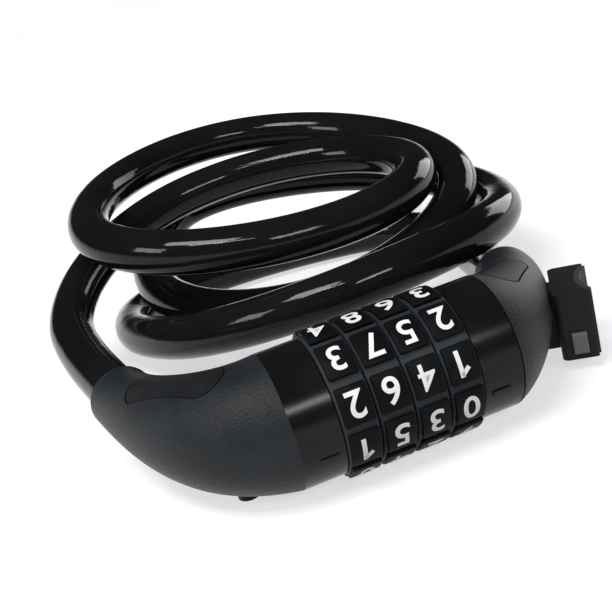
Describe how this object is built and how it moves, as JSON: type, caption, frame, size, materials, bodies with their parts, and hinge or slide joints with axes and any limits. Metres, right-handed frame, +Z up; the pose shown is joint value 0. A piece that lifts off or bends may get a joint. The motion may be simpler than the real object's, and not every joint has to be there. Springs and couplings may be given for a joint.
{
  "type": "combination cable lock",
  "caption": "Combination cable lock: number wheels between two bent housings, a glossy cable wound in loops behind, and a frame bracket on the pull-out end.",
  "frame": {"origin": "on the surface that the lock lies on, under the middle of the lock without its free cable", "axes": "+X along the axis of the number wheels towards the pull-out end, +Y back over the cable's loops, +Z up"},
  "size_m": [0.143, 0.185, 0.0531],
  "materials": {
    "housing_plastic": "satin grained dark blue-grey",
    "inlay_rubber": "soft matte",
    "collar_plastic": "semi-gloss",
    "dial_plastic": "semi-gloss black with white digits",
    "cable_vinyl": "high gloss black sleeve",
    "ring_brass": "machined",
    "steel": "plated",
    "strand_steel": "stranded",
    "spring_steel": "polished",
    "seal_rubber": "matte",
    "button_plastic": "satin grey"
  },
  "bodies": {
    "lock_body": {"left_housing": "housing_plastic", "left_inlay": "inlay_rubber", "left_collar": "collar_plastic", "left_bulkhead": "steel", "core_tube": "steel", "core_nut": "steel", "wave_washer": "spring_steel", "right_collar": "collar_plastic", "collar_screw": "steel", "left_ferrule": "steel", "left_strand_end": "strand_steel", "left_cross_pin": "steel", "cable_coil": "cable_vinyl", "left_lead": "cable_vinyl", "right_lead": "cable_vinyl"},
    "plug": {"right_housing": "housing_plastic", "right_inlay": "inlay_rubber", "plug_carrier": "steel", "lock_pin": "steel", "pin_screw": "steel", "seal_ring": "seal_rubber", "right_ferrule": "steel", "right_strand_end": "strand_steel", "right_cross_pin": "steel"},
    "bracket": {"bracket_body": "housing_plastic", "bracket_liner": "seal_rubber"},
    "button": {"release_button": "button_plastic"},
    "wheel_1": {"dial_1": "dial_plastic", "clutch_ring_1": "ring_brass"},
    "wheel_2": {"dial_2": "dial_plastic", "clutch_ring_2": "ring_brass"},
    "wheel_3": {"dial_3": "dial_plastic", "clutch_ring_3": "ring_brass"},
    "wheel_4": {"dial_4": "dial_plastic", "clutch_ring_4": "ring_brass"}
  },
  "joints": [
    {"name": "wheel_1_turn", "type": "hinge", "parent": "lock_body", "child": "wheel_1", "pos_m": [-0.01043, -0.01242, 0.0161], "axis": [1, 0, 0], "continuous": true},
    {"name": "wheel_2_turn", "type": "hinge", "parent": "lock_body", "child": "wheel_2", "pos_m": [-0.00283, -0.01242, 0.0161], "axis": [1, 0, 0], "continuous": true},
    {"name": "wheel_3_turn", "type": "hinge", "parent": "lock_body", "child": "wheel_3", "pos_m": [0.00477, -0.01242, 0.0161], "axis": [1, 0, 0], "continuous": true},
    {"name": "wheel_4_turn", "type": "hinge", "parent": "lock_body", "child": "wheel_4", "pos_m": [0.01237, -0.01242, 0.0161], "axis": [1, 0, 0], "continuous": true},
    {"name": "plug_pull", "type": "slide", "parent": "lock_body", "child": "plug", "axis": [1, 0, 0], "range_m": [0, 0.042]},
    {"name": "bracket_lift", "type": "slide", "parent": "plug", "child": "bracket", "axis": [0, 0, 1], "range_m": [0, 0.016]},
    {"name": "button_press", "type": "slide", "parent": "bracket", "child": "button", "axis": [0.4551, 0.8905, 0], "range_m": [0, 0.001], "stiffness_N_per_m": 200}
  ]
}
